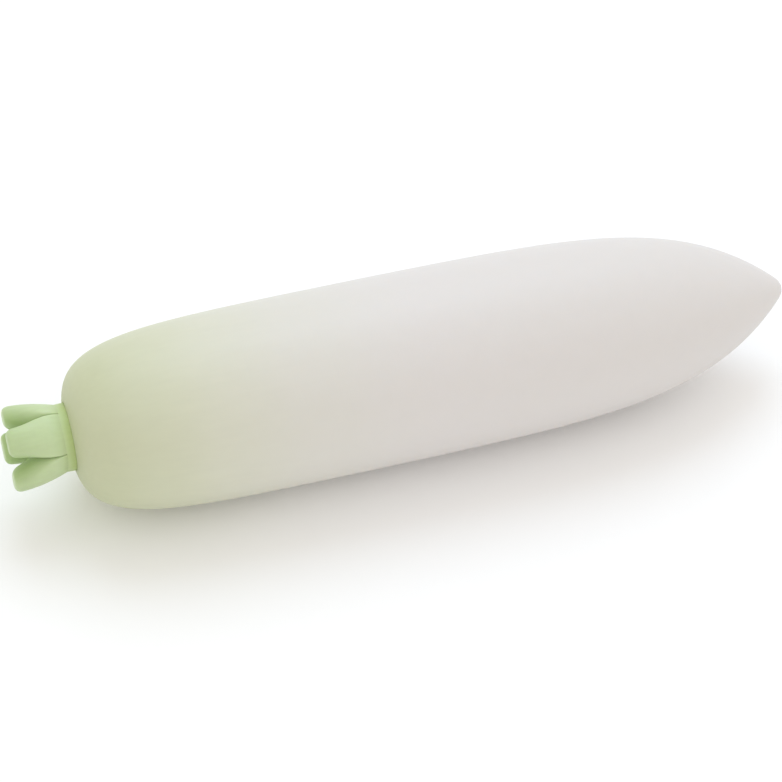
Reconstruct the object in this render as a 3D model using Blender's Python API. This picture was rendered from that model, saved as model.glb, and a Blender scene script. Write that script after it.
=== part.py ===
"""A whole daikon, picked and trimmed, lying on its side.

The root is one turned body with a blunt crown end, a tapering tip and a small flat along its
underside that it rests on. A short round crown stands on the blunt end and carries four leaf
stalks, each cut off straight across. Metres, +Z up. The long axis runs along X with the tip at
+X, and the origin is under the middle of the daikon, on the resting surface.
"""

import math
from dataclasses import dataclass

import bmesh
import bpy
from mathutils import Matrix, Vector

# Root
ROOT_LENGTH = 0.3137
ROOT_RADIUS = 0.040
REST_DEPTH = 0.001
# A higher reach keeps that end's curve closer to the end; a lower bluntness squares it off.
SHOULDER_REACH = 13.3
SHOULDER_BLUNTNESS = 0.263
TIP_REACH = 8.5
TIP_BLUNTNESS = 1.03
# The tip is not a point: it tapers to about this radius, and a higher reach rounds less of it off.
TIP_END_RADIUS = 0.0027
TIP_END_REACH = 500

# Crown
CROWN_RADIUS = 0.0143
CROWN_HEIGHT = 0.0030
CROWN_EDGE = 0.0004

# Leaf stalks, round at their bases on the crown and oval at the knife cut
STALK_BASE_RADIUS = 0.0082
STALK_END_WIDTH = 0.0126
STALK_END_THICKNESS = 0.0094
STALK_END_ROUNDING = 0.0026


@dataclass(frozen=True)
class Stalk:
    """One leaf stalk's own sizes.

    turn is where it stands round the root's axis, from straight up towards +Y; length runs along
    the axis; reach is how far its cut end stands out from the axis; girth scales its cut end.
    """

    name: str
    turn: float
    length: float
    reach: float
    girth: float


STALKS = (
    Stalk("leaf_stalk_front_upper", math.radians(-33), 0.0231, 0.0178, 0.92),
    Stalk("leaf_stalk_back_upper", math.radians(55), 0.0219, 0.0180, 0.95),
    Stalk("leaf_stalk_back_lower", math.radians(137), 0.0236, 0.0180, 1.06),
    Stalk("leaf_stalk_front_lower", math.radians(235), 0.0229, 0.0188, 1.03),
)

# Clearance between pieces that touch
GAP = 0.0003

# Facets
ROOT_RINGS = 36
ROOT_SIDES = 48
CROWN_SIDES = 48
STALK_SIDES = 24
ROUNDING_STEPS = 4

# Colours
ROOT_COLOUR = (0.80, 0.80, 0.74)
CROWN_COLOUR = (0.50, 0.60, 0.30)
STALK_COLOUR = (0.45, 0.60, 0.30)
SKIN_ROUGHNESS = 0.45


def root_radius_at(share):
    """Radius of the root at a share of its length, 0 at the crown end and 1 at the tip."""
    shoulder = (1 - (1 - share) ** SHOULDER_REACH) ** SHOULDER_BLUNTNESS
    narrowing = 1 - (TIP_END_RADIUS / ROOT_RADIUS) ** (1 / TIP_BLUNTNESS)
    tip = (1 - narrowing * share**TIP_REACH) ** TIP_BLUNTNESS
    rounding = math.sqrt(1 - share**TIP_END_REACH)
    return ROOT_RADIUS * shoulder * tip * rounding


def seat_share():
    """Share of the root's length where its blunt end is as wide as the crown that it carries."""
    rise = (CROWN_RADIUS / ROOT_RADIUS) ** (1 / SHOULDER_BLUNTNESS)
    return 1 - (1 - rise) ** (1 / SHOULDER_REACH)


# Places along X, worked out so that the daikon's middle is at the origin
SEAT_TO_TIP = ROOT_LENGTH * (1 - seat_share())
LONGEST_STALK = max(stalk.length for stalk in STALKS)
TOTAL_LENGTH = SEAT_TO_TIP + GAP + CROWN_HEIGHT + GAP + LONGEST_STALK
TIP_X = TOTAL_LENGTH / 2
SEAT_X = TIP_X - SEAT_TO_TIP
CROWN_BASE_X = SEAT_X - GAP
CROWN_TOP_X = CROWN_BASE_X - CROWN_HEIGHT
STALK_BASE_X = CROWN_TOP_X - GAP
AXIS_HEIGHT = ROOT_RADIUS - REST_DEPTH


def material(name, colour):
    """A plain skin finish."""
    skin = bpy.data.materials.new(name)
    skin.use_nodes = True
    shader = skin.node_tree.nodes["Principled BSDF"]
    shader.inputs["Base Color"].default_value = (*colour, 1)
    shader.inputs["Roughness"].default_value = SKIN_ROUGHNESS
    shader.inputs["Metallic"].default_value = 0
    return skin


def add_object(name, shape, colour):
    """Turns a finished bmesh into a smooth-shaded object whose origin is on the root's axis."""
    bmesh.ops.recalc_face_normals(shape, faces=shape.faces)
    mesh = bpy.data.meshes.new(name)
    shape.to_mesh(mesh)
    shape.free()
    mesh.shade_smooth()
    mesh.set_sharp_from_angle(angle=math.radians(40))
    mesh.materials.append(material(name, colour))
    piece = bpy.data.objects.new(name, mesh)
    piece.location = (0, 0, AXIS_HEIGHT)
    bpy.context.scene.collection.objects.link(piece)


def slice_off(shape, point, outward):
    """Cuts away what lies outward of a plane, and closes the cut."""
    everything = shape.verts[:] + shape.edges[:] + shape.faces[:]
    bmesh.ops.bisect_plane(shape, geom=everything, plane_co=point, plane_no=outward, clear_outer=True)
    rim = [edge for edge in shape.edges if edge.is_boundary]
    bmesh.ops.holes_fill(shape, edges=rim)


def turned_body(outline, sides):
    """Spins an outline of (x, radius) points, which starts and ends on the X axis, into a closed body."""
    shape = bmesh.new()
    points = [shape.verts.new((x, 0, radius)) for x, radius in outline]
    edges = [shape.edges.new(pair) for pair in zip(points, points[1:])]
    bmesh.ops.spin(
        shape, geom=points + edges, cent=(0, 0, 0), axis=(1, 0, 0),
        angle=math.tau, steps=sides, use_merge=True,
    )
    bmesh.ops.remove_doubles(shape, verts=shape.verts, dist=1e-6)
    return shape


def build_root():
    """The root: flat seat for the crown, blunt shoulder, long body, tapering tip, resting flat."""
    outline = [(SEAT_X, 0)]
    first = seat_share()
    turn_at_seat = math.acos(1 - 2 * first)
    for ring in range(ROOT_RINGS + 1):
        turn = turn_at_seat + (math.pi - turn_at_seat) * ring / ROOT_RINGS
        share = (1 - math.cos(turn)) / 2
        outline.append((SEAT_X + ROOT_LENGTH * (share - first), root_radius_at(share)))
    outline[-1] = (TIP_X, 0)
    shape = turned_body(outline, ROOT_SIDES)
    slice_off(shape, Vector((0, 0, -AXIS_HEIGHT)), Vector((0, 0, -1)))
    add_object("root", shape, ROOT_COLOUR)


def build_crown():
    """The short stem between the root and its leaf stalks."""
    outline = [
        (CROWN_BASE_X, 0),
        (CROWN_BASE_X, CROWN_RADIUS),
        (CROWN_TOP_X + CROWN_EDGE, CROWN_RADIUS),
        (CROWN_TOP_X, CROWN_RADIUS - CROWN_EDGE),
        (CROWN_TOP_X, 0),
    ]
    add_object("crown", turned_body(outline, CROWN_SIDES), CROWN_COLOUR)


def build_stalk(stalk, before, after):
    """A leaf stalk that leans outwards, with a rounded edge at its cut end.

    It is made standing straight up from the axis, cut flat where it meets its neighbours, at the
    angles before and after it, and then turned into its place.
    """
    half_width = STALK_END_WIDTH * stalk.girth / 2
    half_thickness = STALK_END_THICKNESS * stalk.girth / 2
    base_centre = Vector((STALK_BASE_X, 0, CROWN_RADIUS - STALK_BASE_RADIUS))
    end_centre = Vector((STALK_BASE_X - stalk.length, 0, stalk.reach - half_thickness))
    shape = bmesh.new()
    bmesh.ops.create_circle(
        shape, cap_ends=True, segments=STALK_SIDES, radius=STALK_BASE_RADIUS,
        matrix=Matrix.Translation(base_centre) @ Matrix.Rotation(math.pi / 2, 4, "Y"),
    )
    grown = bmesh.ops.extrude_face_region(shape, geom=shape.faces[:])
    end_loop = [item for item in grown["geom"] if isinstance(item, bmesh.types.BMVert)]
    bmesh.ops.translate(shape, verts=end_loop, vec=end_centre - base_centre)
    taper = Vector((1, half_width / STALK_BASE_RADIUS, half_thickness / STALK_BASE_RADIUS))
    bmesh.ops.scale(shape, verts=end_loop, vec=taper, space=Matrix.Translation(-end_centre))
    end_rim = [edge for edge in shape.edges if set(edge.verts) <= set(end_loop)]
    bmesh.ops.bevel(
        shape, geom=end_rim, offset=STALK_END_ROUNDING, offset_type="OFFSET",
        segments=ROUNDING_STEPS, profile=0.5, affect="EDGES", material=-1,
    )
    for angle, side in ((before, -1), (after, 1)):
        outward = Vector((0, side * math.cos(angle), -math.sin(angle)))
        slice_off(shape, -outward * GAP / 2, outward)
    bmesh.ops.rotate(
        shape, verts=shape.verts, cent=(0, 0, 0), matrix=Matrix.Rotation(-stalk.turn, 3, "X")
    )
    add_object(stalk.name, shape, STALK_COLOUR)


def main():
    for old in list(bpy.data.objects):
        bpy.data.objects.remove(old)
    build_root()
    build_crown()
    for place, stalk in enumerate(STALKS):
        after = (STALKS[(place + 1) % len(STALKS)].turn - stalk.turn) % math.tau / 2
        before = (stalk.turn - STALKS[place - 1].turn) % math.tau / 2
        build_stalk(stalk, before, after)


main()
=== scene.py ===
"""Looks of a trimmed daikon that lies on its side on a plain pale floor.

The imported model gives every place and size. Each of its nodes is replaced by a finer piece: the
root is turned from its outline, and the crown and its four leaf stalks are grown from one cage,
so that they run into each other as they do on the plant, and are then parted again.
"""

import logging
import math
from collections.abc import Iterable, Sequence
from dataclasses import dataclass, field
from enum import Enum
from typing import ClassVar

import bmesh
import bpy
from mathutils import Matrix, Vector


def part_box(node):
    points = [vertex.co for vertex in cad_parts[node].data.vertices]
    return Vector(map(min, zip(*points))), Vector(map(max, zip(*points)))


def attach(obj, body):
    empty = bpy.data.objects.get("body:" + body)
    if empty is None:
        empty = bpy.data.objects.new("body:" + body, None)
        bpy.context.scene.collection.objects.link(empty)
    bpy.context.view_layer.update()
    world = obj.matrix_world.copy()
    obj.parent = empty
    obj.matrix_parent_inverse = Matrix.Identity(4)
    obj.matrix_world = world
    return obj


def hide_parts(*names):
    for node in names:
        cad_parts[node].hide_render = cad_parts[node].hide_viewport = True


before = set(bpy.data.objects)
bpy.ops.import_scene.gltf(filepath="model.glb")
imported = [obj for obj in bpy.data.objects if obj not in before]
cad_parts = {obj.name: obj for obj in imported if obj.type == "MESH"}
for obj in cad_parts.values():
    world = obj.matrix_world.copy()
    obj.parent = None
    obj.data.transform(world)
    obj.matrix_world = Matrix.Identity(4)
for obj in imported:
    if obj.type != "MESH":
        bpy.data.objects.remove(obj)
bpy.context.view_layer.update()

log = logging.getLogger("daikon")

MM = 0.001
BODY = "root"
AXIS_TOLERANCE = 0.001 * MM
SHARP_ANGLE = math.radians(50)
FINE_DETAIL = 3
MIX_COLOURS = (6, 7)
MIX_RESULT = 2
Colour = tuple[float, float, float]


class Slot(Enum):
    """The record's material slots."""

    ROOT = "root_skin"
    CROWN = "crown_skin"
    STALK = "stalk_skin"


class Trait(Enum):
    """Values that the crown's and the stalks' meshes carry for their skins to read."""

    FROM_HEART = "from_heart"
    UP_STALK = "up_stalk"
    INWARD = "inward"


def swell(step: float) -> float:
    """How far smoothing draws in a ring of cage points that stand an angle apart, as a share."""
    return (2 + math.cos(step)) / 3


# ---------------------------------------------------------------- shader maths


class Wire:
    """A shader socket with Python's arithmetic, one Math node for each operator used on it."""

    def __init__(self, bench: "Bench", socket: bpy.types.NodeSocket | None) -> None:
        """Wraps an output of one of the bench's nodes, or nothing where the node has none."""
        self.bench = bench
        self.socket = socket

    def _maths(self, operation: str, *terms: "Wire | float") -> "Wire":
        """Adds a Math node over the terms."""
        return self.bench.add("ShaderNodeMath", {"operation": operation}, dict(enumerate(terms)))

    def __add__(self, other: "Wire | float") -> "Wire":
        """The sum."""
        return self._maths("ADD", self, other)

    def __sub__(self, other: "Wire | float") -> "Wire":
        """The difference."""
        return self._maths("SUBTRACT", self, other)

    def __rsub__(self, other: float) -> "Wire":
        """A number less this socket."""
        return self._maths("SUBTRACT", other, self)

    def __mul__(self, other: "Wire | float") -> "Wire":
        """The product."""
        return self._maths("MULTIPLY", self, other)

    def __truediv__(self, other: "Wire | float") -> "Wire":
        """The quotient."""
        return self._maths("DIVIDE", self, other)

    __radd__ = __add__
    __rmul__ = __mul__

    def ramp_up(self, low: float, high: float) -> "Wire":
        """Rises smoothly from 0 at low to 1 at high, or falls where high is the smaller."""
        spread = {"Value": self, "From Min": low, "From Max": high}
        return self.bench.add("ShaderNodeMapRange", {"interpolation_type": "SMOOTHSTEP"}, spread)


class Bench:
    """The node tree of one material, to which every node is added in one way."""

    def __init__(self, name: str) -> None:
        """Starts a material with an empty tree."""
        self.material = bpy.data.materials.new(name)
        self.material.use_nodes = True
        self.tree = self.material.node_tree
        self.tree.nodes.clear()

    def add(
        self,
        kind: str,
        settings: dict[str, object] | None = None,
        sockets: dict[str | int, object] | None = None,
        output: str | int = 0,
    ) -> Wire:
        """Adds a node.

        Args:
            kind: The node's type.
            settings: The node's own properties, set first; stops is a colour ramp's list of
                (place, colour) pairs.
            sockets: Values or wires for its inputs, by name or number.
            output: The output to hand back.

        Returns:
            The chosen output.
        """
        node = self.tree.nodes.new(kind)
        for key, value in (settings or {}).items():
            if key == "stops":
                self._set_stops(node.color_ramp, value)
            else:
                setattr(node, key, value)
        for key, value in (sockets or {}).items():
            if isinstance(value, Wire):
                self.tree.links.new(value.socket, node.inputs[key])
            else:
                node.inputs[key].default_value = value
        return Wire(self, node.outputs[output] if len(node.outputs) else None)

    @staticmethod
    def _set_stops(ramp: bpy.types.ColorRamp, stops: Sequence[tuple[float, Colour]]) -> None:
        """Fills a colour ramp, which runs smoothly through its stops."""
        ramp.interpolation = "CARDINAL"
        for place, colour in stops[1:-1]:
            ramp.elements.new(place).color = (*colour, 1)
        ends = ((ramp.elements[0], stops[0]), (ramp.elements[-1], stops[-1]))
        for element, (place, colour) in ends:
            element.position = place
            element.color = (*colour, 1)

    def places(self, scale: Colour = (1, 1, 1)) -> Wire:
        """The piece's own coordinates, stretched by a scale along each axis."""
        own = self.add("ShaderNodeTexCoord", output="Object")
        return self.add("ShaderNodeMapping", None, {"Vector": own, "Scale": scale})

    def noise(self, places: Wire, size: float, detail: float = 2) -> Wire:
        """Soft noise between 0 and 1 whose blotches are about as wide as a size in metres."""
        return self.add(
            "ShaderNodeTexNoise", None, {"Vector": places, "Scale": 1 / size, "Detail": detail}, "Fac"
        )

    def trait(self, trait: Trait) -> Wire:
        """A value that the mesh carries."""
        return self.add("ShaderNodeAttribute", {"attribute_name": trait.value}, None, "Fac")

    def tint(self, colour: "Wire | Colour", other: "Wire | Colour", share: "Wire | float") -> Wire:
        """Goes from one colour to another by a share."""
        sockets: dict[str | int, object] = {0: share}
        for number, end in zip(MIX_COLOURS, (colour, other)):
            sockets[number] = end if isinstance(end, Wire) else (*end, 1)
        return self.add("ShaderNodeMix", {"data_type": "RGBA"}, sockets, MIX_RESULT)

    def shade(self, colour: "Wire | Colour", factor: Wire) -> Wire:
        """Makes a colour lighter or darker by a factor near 1."""
        return self.add(
            "ShaderNodeVectorMath", {"operation": "SCALE"}, {0: colour, "Scale": factor}
        )

    def bumps(self, height: Wire, depth: float) -> Wire:
        """A normal from a height between 0 and 1 and the depth that it stands for, in metres."""
        return self.add(
            "ShaderNodeBump", None, {"Height": height, "Distance": depth, "Strength": 1}
        )

    def skin(self, **sockets: object) -> bpy.types.Material:
        """Ends the tree in a Principled shader.

        Args:
            sockets: Values or wires for the shader's inputs, by name with underscores.

        Returns:
            The finished material.
        """
        named = {}
        for key, value in sockets.items():
            named[key.replace("_", " ").title().replace("Ior", "IOR")] = value
        shader = self.add("ShaderNodeBsdfPrincipled", None, named)
        self.add("ShaderNodeOutputMaterial", None, {"Surface": shader})
        return self.material


# ---------------------------------------------------------------- finishes


@dataclass(frozen=True)
class RootSkin:
    """Smooth radish skin, green where the shoulder stood out of the soil and white below."""

    white: Colour = (0.700, 0.670, 0.650)
    greening: tuple[tuple[float, Colour], ...] = (
        (0 * MM, (0.752, 0.832, 0.556)),
        (21 * MM, (0.819, 0.890, 0.645)),
        (50 * MM, (0.905, 0.955, 0.782)),
        (84 * MM, (0.960, 0.985, 0.905)),
        (115 * MM, (0.985, 0.996, 0.965)),
        (150 * MM, (1, 1, 1)),
    )
    drift: float = 5 * MM
    blotch_size: float = 30 * MM
    mottle_size: float = 7 * MM
    mottle_depth: float = 0.03
    streak_size: float = 2.5 * MM
    streak_stretch: Colour = (0.12, 1, 1)
    streak_depth: float = 0.05
    hoop_size: float = 1.6 * MM
    hoop_stretch: Colour = (1, 0.06, 0.06)
    hoop_share: float = 0.6
    bump_depth: float = 0.05 * MM
    shoulder_start: float = 20 * MM
    shoulder_end: float = 150 * MM
    roughness: float = 0.5
    roughness_spread: float = 0.1

    def material(self, seat_x: float) -> bpy.types.Material:
        """Builds the skin.

        Args:
            seat_x: Where the root's crown end is along X.

        Returns:
            The material.
        """
        bench = Bench("daikon_root_skin")
        reach = self.greening[-1][0]
        from_crown = bench.add("ShaderNodeSeparateXYZ", None, {0: bench.places()}, "X") - seat_x
        blotches = bench.noise(bench.places(), self.blotch_size)
        uneven = from_crown + (blotches - 0.5) * self.drift
        stops = [(distance / reach, colour) for distance, colour in self.greening]
        green = bench.add("ShaderNodeValToRGB", {"stops": stops}, {0: uneven / reach}, "Color")
        base = bench.add(
            "ShaderNodeVectorMath", {"operation": "MULTIPLY"}, {0: green, 1: self.white}
        )
        mottle = bench.noise(bench.places(), self.mottle_size, FINE_DETAIL)
        streaks = bench.noise(bench.places(self.streak_stretch), self.streak_size, FINE_DETAIL)
        hoops = bench.noise(bench.places(self.hoop_stretch), self.hoop_size, FINE_DETAIL)
        shoulder = from_crown.ramp_up(self.shoulder_end, self.shoulder_start)
        value = 1 + (mottle - 0.5) * self.mottle_depth + (streaks - 0.5) * shoulder * self.streak_depth
        relief = hoops * self.hoop_share + streaks * (1 - self.hoop_share)
        return bench.skin(
            base_color=bench.shade(base, value),
            roughness=(mottle - 0.5) * self.roughness_spread + self.roughness,
            normal=bench.bumps(relief, self.bump_depth),
            subsurface_weight=0.15,
            subsurface_radius=(1.0, 0.8, 0.6),
            subsurface_scale=4 * MM,
            specular_ior_level=0.35,
        )


@dataclass(frozen=True)
class StalkSkin:
    """Smooth light green skin, ribbed along the stalk, with a paler heart at the cut.

    It is yellower at the root and palest a little way up. Painted shade makes a stalk's inner side
    deeper green.
    """

    name: str
    growth: tuple[tuple[float, Colour], ...] = (
        (0.0, (0.450, 0.560, 0.222)),
        (0.07, (0.479, 0.589, 0.267)),
        (0.16, (0.524, 0.635, 0.342)),
        (0.28, (0.546, 0.659, 0.385)),
        (0.40, (0.537, 0.647, 0.375)),
        (0.72, (0.494, 0.604, 0.337)),
        (1.0, (0.465, 0.575, 0.310)),
    )
    # Painted shade: the deeper green laid on each stalk's inner side, where the stalks crowd together,
    # with its strength and the bands it spreads over.
    painted_shade_green: Colour = (0.330, 0.470, 0.170)
    heart: Colour = (0.53, 0.64, 0.38)
    painted_shade_share: float = 0.7
    painted_shade_inner_band: tuple[float, float] = (0.15, 0.75)
    painted_shade_band: tuple[float, float] = (0.25, 0.8)
    cut_band: tuple[float, float] = (0.985, 1.0)
    heart_band: tuple[float, float] = (0.92, 0.55)
    rib_size: float = 1.4 * MM
    rib_stretch: Colour = (0.08, 1, 1)
    rib_depth: float = 0.08
    grain_size: float = 3 * MM
    grain_depth: float = 0.05
    cell_size: float = 0.7 * MM
    cell_depth: float = 0.12
    bump_depth: float = 0.12 * MM
    roughness: float = 0.48
    roughness_spread: float = 0.12

    def material(self) -> bpy.types.Material:
        """Builds the skin and hands back its material."""
        bench = Bench(self.name)
        up = bench.trait(Trait.UP_STALK)
        out = bench.trait(Trait.FROM_HEART)
        ribs = bench.noise(bench.places(self.rib_stretch), self.rib_size, FINE_DETAIL)
        grain = bench.noise(bench.places(), self.grain_size, FINE_DETAIL)
        cells = bench.noise(bench.places(), self.cell_size)
        grown = bench.add("ShaderNodeValToRGB", {"stops": self.growth}, {0: up}, "Color")
        at_cut = up.ramp_up(*self.cut_band) * out.ramp_up(*self.heart_band)
        # Painted shade: deeper green on each stalk's inner side, away from its foot.
        inward = bench.trait(Trait.INWARD)
        painted_shade_mask = inward.ramp_up(*self.painted_shade_inner_band) * up.ramp_up(*self.painted_shade_band)
        skin = bench.tint(grown, self.painted_shade_green, painted_shade_mask * self.painted_shade_share)
        colour = bench.tint(skin, self.heart, at_cut)
        value = 1 + (ribs - 0.5) * self.rib_depth + (grain - 0.5) * self.grain_depth
        value = value + (cells - 0.5) * at_cut * self.cell_depth
        return bench.skin(
            base_color=bench.shade(colour, value),
            roughness=(grain - 0.5) * self.roughness_spread + self.roughness,
            normal=bench.bumps(ribs, self.bump_depth),
            subsurface_weight=0.15,
            subsurface_radius=(0.7, 1.0, 0.4),
            subsurface_scale=3 * MM,
            specular_ior_level=0.35,
        )


@dataclass(frozen=True)
class FloorPaint:
    """Plain pale matt floor."""

    colour: Colour = (0.96, 0.96, 0.96)
    cloud_size: float = 0.6
    cloud_depth: float = 0.01
    roughness: float = 0.9

    def material(self) -> bpy.types.Material:
        """Builds the paint and hands back its material."""
        bench = Bench("pale_floor")
        cloud = bench.noise(bench.places(), self.cloud_size)
        return bench.skin(
            base_color=bench.shade(self.colour, 1 + (cloud - 0.5) * self.cloud_depth),
            roughness=self.roughness,
            specular_ior_level=0.1,
        )


# ---------------------------------------------------------------- pieces


def finish_piece(
    name: str, shape: bmesh.types.BMesh, skin: bpy.types.Material, nodes: Iterable[str]
) -> bpy.types.Object:
    """Makes an object of a finished shape and puts it in the place of its nodes.

    Args:
        name: The piece's name.
        shape: Its shape, in place, which is freed.
        skin: Its material.
        nodes: The model's nodes that it stands for.

    Returns:
        The new object.
    """
    mesh = bpy.data.meshes.new(name)
    shape.to_mesh(mesh)
    shape.free()
    mesh.shade_smooth()
    mesh.set_sharp_from_angle(angle=SHARP_ANGLE)
    mesh.materials.append(skin)
    piece = bpy.data.objects.new(name, mesh)
    bpy.context.scene.collection.objects.link(piece)
    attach(piece, BODY)
    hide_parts(*nodes)
    log.info("%s: %d faces, stands for %s", name, len(mesh.polygons), ", ".join(nodes))
    return piece


@dataclass
class Root:
    """The fleshy root, turned from its outline and settled a little on the floor."""

    seat_x: float
    tip_x: float
    radius: float
    axis_height: float
    crown_radius: float
    shoulder_reach: float = 13.3
    shoulder_bluntness: float = 0.263
    tip_reach: float = 8.5
    tip_bluntness: float = 1.03
    tip_end_radius: float = 2.7 * MM
    tip_end_reach: float = 500
    lip: float = 0.5 * MM
    groove: float = 0.6 * MM
    lip_steps: int = 6
    settling: float = 0.6 * MM
    rings: int = 150
    sides: int = 144
    skin: RootSkin = field(default_factory=RootSkin)

    @classmethod
    def from_frame(cls) -> "Root":
        """Takes the root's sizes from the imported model."""
        low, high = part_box("root")
        crown_low, crown_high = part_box("crown")
        radius = (high.y - low.y) / 2
        return cls(
            seat_x=low.x,
            tip_x=high.x,
            radius=radius,
            axis_height=high.z - radius,
            crown_radius=(crown_high.y - crown_low.y) / 2,
        )

    def radius_at(self, share: float) -> float:
        """Radius at a share of the whole outline's length, 0 at the crown end and 1 at the tip."""
        shoulder = (1 - (1 - share) ** self.shoulder_reach) ** self.shoulder_bluntness
        narrowing = 1 - (self.tip_end_radius / self.radius) ** (1 / self.tip_bluntness)
        tip = (1 - narrowing * share**self.tip_reach) ** self.tip_bluntness
        rounding = math.sqrt(1 - share**self.tip_end_reach)
        return self.radius * shoulder * tip * rounding

    def share_at(self, radius: float) -> float:
        """Share of the outline's length at which the blunt end has grown to a radius."""
        rise = (radius / self.radius) ** (1 / self.shoulder_bluntness)
        return 1 - (1 - rise) ** (1 / self.shoulder_reach)

    def outline(self) -> list[Vector]:
        """Points from the groove round the crown, over its lip and the shoulder, to the tip.

        Returns:
            Points with X along the root and Z as the radius, the first and last on the axis.
        """
        at_seat = self.share_at(self.crown_radius)
        length = (self.tip_x - self.seat_x) / (1 - at_seat)
        first = self.share_at(self.crown_radius + self.lip)
        lip_x = self.seat_x + length * (first - at_seat)
        points = [Vector((lip_x + self.groove, 0, 0))]
        for step in range(self.lip_steps):
            turn = math.pi / 2 * step / self.lip_steps
            x = lip_x + self.groove * (1 - math.sin(turn))
            points.append(Vector((x, 0, self.crown_radius + self.lip * (1 - math.cos(turn)))))
        start = math.acos(1 - 2 * first)
        for ring in range(self.rings + 1):
            share = (1 - math.cos(start + (math.pi - start) * ring / self.rings)) / 2
            x = self.seat_x + length * (share - at_seat)
            points.append(Vector((x, 0, self.radius_at(share))))
        points[-1].z = 0
        return points

    def settle(self, shape: bmesh.types.BMesh) -> None:
        """Flattens the underside softly, so that nothing goes below the floor."""
        for vert in shape.verts:
            if vert.co.z < self.settling:
                vert.co.z = self.settling * math.exp(vert.co.z / self.settling - 1)

    def build(self) -> bpy.types.Object:
        """Turns the root and dresses it."""
        shape = bmesh.new()
        verts = [shape.verts.new(point) for point in self.outline()]
        edges = [shape.edges.new(pair) for pair in zip(verts, verts[1:])]
        bmesh.ops.spin(
            shape, geom=verts + edges, cent=(0, 0, 0), axis=(1, 0, 0),
            angle=math.tau, steps=self.sides, use_merge=True,
        )
        bmesh.ops.remove_doubles(shape, verts=shape.verts, dist=AXIS_TOLERANCE)
        bmesh.ops.recalc_face_normals(shape, faces=shape.faces)
        bmesh.ops.translate(shape, verts=shape.verts, vec=(0, 0, self.axis_height))
        self.settle(shape)
        skin = self.skin.material(self.seat_x)
        return finish_piece("daikon_root", shape, skin, ["root"])


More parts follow.
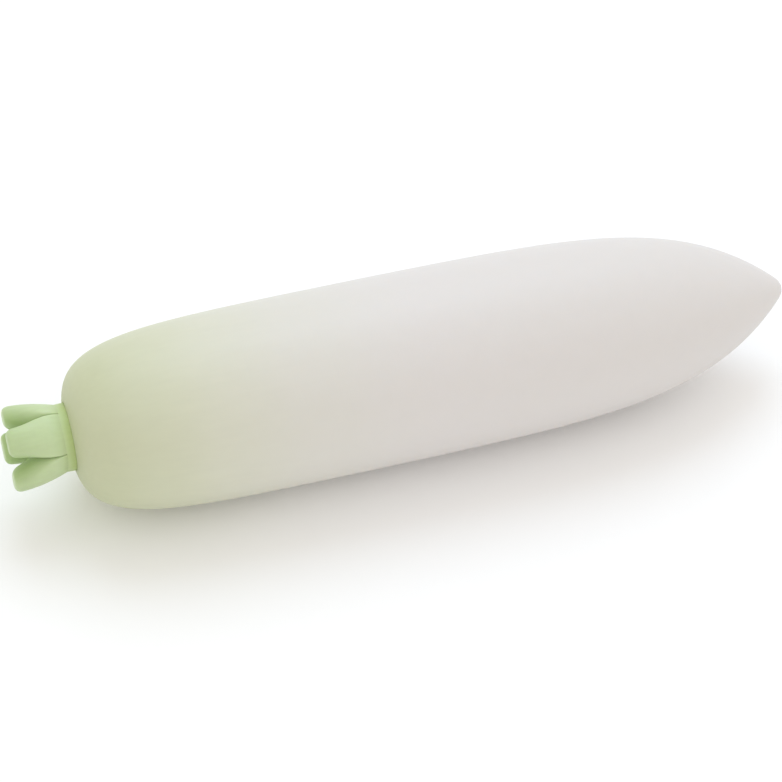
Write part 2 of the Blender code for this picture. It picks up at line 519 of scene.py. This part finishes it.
@dataclass
class LeafStalk:
    """One cut leaf stalk, described in the crown's own frame, which stands on the root's seat.

    At its foot it fills its own sector of the crown, from the angle before its direction to the
    angle after it. From there it narrows, bows outwards and rounds into the oval of its cut end.
    """

    node: str
    direction: float
    base_reach: float
    end_reach: float
    half_width: float
    half_thickness: float
    base_height: float
    end_height: float
    before: float = 0
    after: float = 0
    base_half_width: float = 8.2 * MM
    parting: float = 0.25 * MM
    bow: float = 2.2
    rounded_by: float = 0.75
    stations: tuple[float, ...] = (0.0, 0.03, 0.12, 0.28, 0.46, 0.64, 0.80)
    rounding: float = 2.3 * MM
    edge_share: float = 0.3
    squareness: float = 0.8
    sinking: float = 0.3 * MM
    heart_share: float = 0.04
    foot_parting: float = 0.2

    seam_shares: ClassVar[tuple[float, ...]] = (0.25, 0.55, 0.80, 0.94)
    arc_shares: ClassVar[tuple[float, ...]] = (-0.85, -0.45, 0, 0.45, 0.85)
    cut_traits: ClassVar[tuple[float, ...]] = (0.9, 0.5, 0.2)

    @classmethod
    def from_frame(cls, node: str, seat_x: float, axis_height: float, reach: float) -> "LeafStalk":
        """Measures a stalk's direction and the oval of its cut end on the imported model.

        Args:
            node: The stalk's node.
            seat_x: Where the root's seat is along X.
            axis_height: Height of the root's axis above the floor.
            reach: The crown's radius, which the stalk's foot reaches.

        Returns:
            The stalk's description.
        """
        end_band = 2 * MM
        low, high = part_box(node)
        places = [vert.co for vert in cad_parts[node].data.vertices]
        end = [Vector((co.z - axis_height, co.y)) for co in places if co.x < low.x + end_band]
        middle = (Vector(map(min, *end)) + Vector(map(max, *end))) / 2
        direction = math.atan2(middle.y, middle.x)
        for point in end:
            point.rotate(Matrix.Rotation(-direction, 2))
        inner, outer = min(point.x for point in end), max(point.x for point in end)
        return cls(
            node=node,
            direction=direction,
            base_reach=reach,
            end_reach=outer,
            half_width=max(abs(point.y) for point in end),
            half_thickness=(outer - inner) / 2,
            base_height=seat_x - high.x,
            end_height=seat_x - low.x,
        )

    @property
    def rise(self) -> float:
        """Height of the cut end above the foot."""
        return self.end_height - self.base_height

    def foot(self) -> list[Vector]:
        """Cage points round the sector that the foot fills.

        Returns:
            The points, counter-clockwise from the one nearest the root's axis.
        """
        reach = self.base_reach / swell((self.before + self.after) / (len(self.arc_shares) + 1))
        places = [(self.heart_share, 0.0)]
        places += [(share, -self.before) for share in (*self.seam_shares, 1.0)]
        for share in self.arc_shares:
            places.append((1.0, share * (self.before if share < 0 else self.after)))
        places += [(share, self.after) for share in (1.0, *reversed(self.seam_shares))]
        return [Vector((math.cos(turn), math.sin(turn))) * reach * share for share, turn in places]

    def section(self, share: float, height: float, shrink: float = 0) -> list[Vector]:
        """Cage points round the stalk, counter-clockwise from the one nearest the root's axis.

        Args:
            share: How far up the stalk the section is read, from 0 to 1.
            height: Where the points lie above the seat.
            shrink: What to take off the section all round.

        Returns:
            The points, kept clear of the neighbours' sectors.
        """
        reach = self.base_reach + (self.end_reach - self.base_reach) * (1 - (1 - share) ** self.bow)
        width = self.base_half_width + (self.half_width - self.base_half_width) * share - shrink
        thickness = self.base_half_width + (self.half_thickness - self.base_half_width) * share
        middle = reach - thickness
        rounded = min(share / self.rounded_by, 1)
        rounded *= rounded * (3 - 2 * rounded)
        parting = self.parting * (self.foot_parting + (1 - self.foot_parting) * share)
        foot = self.foot()
        step = math.tau / len(foot)
        points = []
        for side, foot_point in enumerate(foot):
            turn = math.pi + step * side
            across, along = (
                math.copysign(abs(part) ** self.squareness, part) / swell(step)
                for part in (math.cos(turn), math.sin(turn))
            )
            oval = Vector((middle + (thickness - shrink) * across, width * along))
            point = (foot_point * reach / self.base_reach).lerp(oval, rounded)
            for hand, angle in ((-1, self.before), (1, self.after)):
                outward = Vector((-math.sin(angle), hand * math.cos(angle)))
                point -= outward * max(0, point.dot(outward) + parting)
            point.rotate(Matrix.Rotation(self.direction, 2))
            points.append(Vector((*point, height)))
        return points

    def rings(self) -> list[tuple[float, float, list[Vector]]]:
        """Every ring of the stalk's cage from its foot to the middle of its cut end.

        Returns:
            For each ring, its share up the stalk, its distance from the heart and its points.
        """
        edge = self.rounding * self.edge_share
        heart = (self.half_thickness + self.rounding) / 2
        rings = []
        for share in (*self.stations, 1 - self.rounding / self.rise):
            rings.append((share, 1.0, self.section(share, self.base_height + self.rise * share)))
        cut = ((edge, edge), (0, self.rounding), (self.sinking, heart))
        for from_heart, (drop, shrink) in zip(self.cut_traits, cut):
            rings.append((1.0, from_heart, self.section(1, self.end_height - drop, shrink)))
        return rings


@dataclass
class Crown:
    """The short stem and its ring of leaf stalks, grown together from one cage."""

    seat_x: float
    axis_height: float
    radius: float
    height: float
    stalks: list[LeafStalk]
    burial: float = 1.2 * MM
    band_share: float = 0.4
    levels: int = 3
    crown_skin: StalkSkin = StalkSkin("daikon_crown_skin")
    stalk_skin: StalkSkin = StalkSkin("daikon_stalk_skin")

    narrow_nodes: ClassVar[tuple[str, ...]] = ("leaf_stalk_front_upper", "leaf_stalk_back_lower")
    narrow_share: ClassVar[float] = 0.42

    @classmethod
    def from_frame(cls) -> "Crown":
        """Takes the crown's and the stalks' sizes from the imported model.

        Returns:
            The crown, whose stalks stand in order round it and share the angles between them.
        """
        root_low, root_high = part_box("root")
        low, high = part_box("crown")
        axis_height = root_high.z - (root_high.y - root_low.y) / 2
        radius = (high.y - low.y) / 2
        stalks = []
        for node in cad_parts:
            if node.startswith("leaf_stalk"):
                stalks.append(LeafStalk.from_frame(node, root_low.x, axis_height, radius))
        stalks.sort(key=lambda stalk: stalk.direction)
        for stalk, following in zip(stalks, stalks[1:] + stalks[:1]):
            between = (following.direction - stalk.direction) % math.tau
            share = cls.narrow_share if stalk.node in cls.narrow_nodes else 1 - cls.narrow_share
            stalk.after = between * share
            following.before = between - stalk.after
        return cls(root_low.x, axis_height, radius, root_low.x - low.x, stalks)

    def collar(self, cage: bmesh.types.BMesh) -> list[bmesh.types.BMFace]:
        """Makes the closed collar, and parts its top into one face for each stalk.

        Args:
            cage: The empty cage.

        Returns:
            The top's faces, in the order of the stalks.
        """
        steps = len(LeafStalk.arc_shares) + 1
        turns = []
        for stalk in self.stalks:
            for step in range(steps):
                spread = (stalk.before + stalk.after) * step / steps
                turns.append(stalk.direction - stalk.before + spread)
        rim_verts = bmesh.ops.create_circle(cage, segments=len(turns), radius=self.radius)["verts"]
        rim_reach = self.radius / swell(math.tau / len(turns))
        for vert, turn in zip(rim_verts, turns):
            vert.co = (rim_reach * math.cos(turn), rim_reach * math.sin(turn), self.height)
        rim = list(cage.edges)
        side = rim
        for height in (self.height * self.band_share, 0, -self.burial):
            grown = bmesh.ops.extrude_edge_only(cage, edges=side)["geom"]
            side = [item for item in grown if isinstance(item, bmesh.types.BMEdge)]
            for vert in {vert for edge in side for vert in edge.verts}:
                vert.co.z = height
        bmesh.ops.holes_fill(cage, edges=side)
        lid = bmesh.ops.holes_fill(cage, edges=rim)["faces"]
        middle = bmesh.ops.poke(cage, faces=lid)["verts"][0]
        parting_verts = rim_verts[::steps]
        spare = [edge for edge in middle.link_edges if edge.other_vert(middle) not in parting_verts]
        bmesh.ops.dissolve_edges(cage, edges=spare)
        for seam in list(middle.link_edges):
            corner = seam.other_vert(middle).co.copy()
            for share in reversed(LeafStalk.seam_shares):
                vert = bmesh.utils.edge_split(seam, middle, 0.5)[1]
                vert.co = middle.co.lerp(corner, share)
                seam = next(edge for edge in vert.link_edges if edge.other_vert(vert) == middle)
        bmesh.ops.recalc_face_normals(cage, faces=cage.faces)
        up = cage.verts.layers.float[Trait.UP_STALK.value]
        tallest = max(stalk.end_height for stalk in self.stalks)
        for vert in cage.verts:
            vert[up] = max(vert.co.z, 0) / tallest
        return [self.top_under(middle.link_faces, stalk) for stalk in self.stalks]

    @staticmethod
    def top_under(tops: Iterable[bmesh.types.BMFace], stalk: LeafStalk) -> bmesh.types.BMFace:
        """Finds the top face that lies in a stalk's direction."""
        way = Vector((math.cos(stalk.direction), math.sin(stalk.direction), 0))
        return max(tops, key=lambda face: face.calc_center_median().dot(way))

    def grow_stalk(
        self, cage: bmesh.types.BMesh, face: bmesh.types.BMFace, stalk: LeafStalk, label: int
    ) -> None:
        """Insets a top face and extrudes it, ring by ring, into a stalk.

        Args:
            cage: The cage that the stalk joins.
            face: The top face that it grows from.
            stalk: Its description.
            label: The material number that marks the stalk's faces.
        """
        up = cage.verts.layers.float[Trait.UP_STALK.value]
        out = cage.verts.layers.float[Trait.FROM_HEART.value]
        inward = cage.verts.layers.float[Trait.INWARD.value]
        bmesh.ops.inset_individual(cage, faces=[face], thickness=stalk.parting, depth=0)
        for number, (share, from_heart, points) in enumerate(stalk.rings()):
            if number:
                face = bmesh.ops.extrude_discrete_faces(cage, faces=[face])["faces"][0]
            verts = list(face.verts)
            start = min(range(len(verts)), key=lambda place: verts[place].co.xy.length)
            for step, point in enumerate(points):
                vert = verts[(start + step) % len(verts)]
                vert.co = point
                vert[up] = (stalk.base_height + share * stalk.rise) / stalk.end_height
                vert[out] = from_heart
                # How squarely this side faces the heart, which the stalk skin reads for its painted
                # shade.
                vert[inward] = (1 + math.cos(math.tau * step / len(points))) / 2
            if number:
                for edge in face.edges:
                    for wall in edge.link_faces:
                        wall.material_index = label
        heart = bmesh.ops.poke(cage, faces=[face])["verts"][0]
        heart[up] = 1
        for cap in heart.link_faces:
            cap.material_index = label

    def to_root(self) -> Matrix:
        """Lays the crown's own frame, in which it stands upright, against the root's seat."""
        return Matrix((
            (0, 0, -1, self.seat_x), (0, 1, 0, 0), (1, 0, 0, self.axis_height), (0, 0, 0, 1)
        ))

    def grown(self) -> bpy.types.Mesh:
        """Builds the whole cage and subdivides it.

        Returns:
            The smooth whole, whose material numbers tell the crown and the stalks apart.
        """
        cage = bmesh.new()
        for trait in Trait:
            cage.verts.layers.float.new(trait.value)
        tops = self.collar(cage)
        for label, (face, stalk) in enumerate(zip(tops, self.stalks), start=1):
            self.grow_stalk(cage, face, stalk, label)
        bmesh.ops.recalc_face_normals(cage, faces=cage.faces)
        bmesh.ops.transform(cage, matrix=self.to_root(), verts=cage.verts)
        mesh = bpy.data.meshes.new("crown_cage")
        cage.to_mesh(mesh)
        cage.free()
        for _ in range(len(self.stalks) + 1):
            mesh.materials.append(None)
        holder = bpy.data.objects.new("crown_cage", mesh)
        bpy.context.scene.collection.objects.link(holder)
        smooth = holder.modifiers.new("smooth", "SUBSURF")
        smooth.levels = smooth.render_levels = self.levels
        seen = holder.evaluated_get(bpy.context.evaluated_depsgraph_get())
        whole = bpy.data.meshes.new_from_object(seen)
        bpy.data.objects.remove(holder)
        return whole

    @staticmethod
    def part(whole: bpy.types.Mesh, label: int) -> bmesh.types.BMesh:
        """Takes one labelled piece out of the grown whole and closes it.

        Args:
            whole: The subdivided crown and stalks.
            label: The material number of the piece's faces.

        Returns:
            The piece's own closed shape.
        """
        shape = bmesh.new()
        shape.from_mesh(whole)
        others = [face for face in shape.faces if face.material_index != label]
        bmesh.ops.delete(shape, geom=others, context="FACES")
        bmesh.ops.holes_fill(shape, edges=[edge for edge in shape.edges if edge.is_boundary])
        for face in shape.faces:
            face.material_index = 0
        return shape

    def build(self) -> list[bpy.types.Object]:
        """Grows the crown with its stalks, then parts and dresses them.

        Returns:
            The crown's object and then the stalks'.
        """
        whole = self.grown()
        crown_skin = self.crown_skin.material()
        stalk_skin = self.stalk_skin.material()
        crown = self.part(whole, 0)
        pieces = [finish_piece("daikon_crown", crown, crown_skin, ["crown"])]
        for label, stalk in enumerate(self.stalks, start=1):
            shape = self.part(whole, label)
            name = f"daikon_{stalk.node}"
            pieces.append(finish_piece(name, shape, stalk_skin, [stalk.node]))
        return pieces


# ---------------------------------------------------------------- studio


@dataclass
class Studio:
    """Floor, soft light and camera."""

    seat_x: float
    axis_height: float
    azimuth: float = math.radians(-16.0)
    elevation: float = math.radians(47.5)
    lens: float = 150
    frame_width: float = 329.5 * MM
    aim_along: float = 136.5 * MM
    aim_across: float = -9.1 * MM
    floor_size: float = 24
    sky: Colour = (1.0, 0.975, 0.945)
    sky_strength: float = 0.96
    key_power: float = 9.2
    key_colour: Colour = (0.66, 0.83, 1.0)
    key_size: float = 1.2
    key_distance: float = 1.8
    key_turn: float = math.radians(72)

    def toward_camera(self) -> Vector:
        """The direction from the daikon to the camera."""
        flat = math.cos(self.elevation)
        return Vector((
            math.sin(self.azimuth) * flat, -math.cos(self.azimuth) * flat, math.sin(self.elevation)
        ))

    def screen_up(self) -> Vector:
        """The direction that shows as up in the picture."""
        side = Vector((math.cos(self.azimuth), math.sin(self.azimuth), 0))
        return self.toward_camera().cross(side)

    def build_floor(self) -> None:
        """A wide plain floor under the daikon."""
        shape = bmesh.new()
        bmesh.ops.create_grid(shape, x_segments=1, y_segments=1, size=self.floor_size / 2)
        mesh = bpy.data.meshes.new("floor")
        shape.to_mesh(mesh)
        shape.free()
        mesh.materials.append(FloorPaint().material())
        floor = bpy.data.objects.new("floor", mesh)
        bpy.context.scene.collection.objects.link(floor)

    def build_light(self) -> None:
        """An even warm sky, and one broad cool lamp from beyond the daikon."""
        world = bpy.data.worlds.new("studio")
        world.use_nodes = True
        background = world.node_tree.nodes["Background"]
        background.inputs["Color"].default_value = (*self.sky, 1)
        background.inputs["Strength"].default_value = self.sky_strength
        bpy.context.scene.world = world
        lamp = bpy.data.lights.new("key", "AREA")
        lamp.shape = "DISK"
        lamp.size = self.key_size
        lamp.energy = self.key_power
        lamp.color = self.key_colour
        key = bpy.data.objects.new("key", lamp)
        way = self.toward_camera() * math.cos(self.key_turn) + self.screen_up() * math.sin(self.key_turn)
        key.location = way * self.key_distance
        key.rotation_euler = way.to_track_quat("Z", "Y").to_euler()
        bpy.context.scene.collection.objects.link(key)

    def build_camera(self) -> None:
        """A long lens that looks down on the daikon, which fills the width of the picture."""
        data = bpy.data.cameras.new("camera")
        data.lens = self.lens
        camera = bpy.data.objects.new("camera", data)
        across = self.screen_up()
        across.x = 0
        aim = Vector((self.seat_x + self.aim_along, 0, self.axis_height))
        aim += across.normalized() * self.aim_across
        distance = self.frame_width * self.lens / data.sensor_width
        camera.location = aim + self.toward_camera() * distance
        camera.rotation_euler = self.toward_camera().to_track_quat("Z", "Y").to_euler()
        bpy.context.scene.collection.objects.link(camera)
        bpy.context.scene.camera = camera

    def build(self) -> None:
        """Sets up the whole studio."""
        self.build_floor()
        self.build_light()
        self.build_camera()
        bpy.context.scene.view_settings.view_transform = "Standard"


def main() -> None:
    """Builds the daikon and its studio in order."""
    logging.basicConfig(level=logging.INFO, format="%(name)s %(message)s")
    root = Root.from_frame()
    root.build()
    Crown.from_frame().build()
    Studio(root.seat_x, root.axis_height).build()


if __name__ == "__main__":
    main()
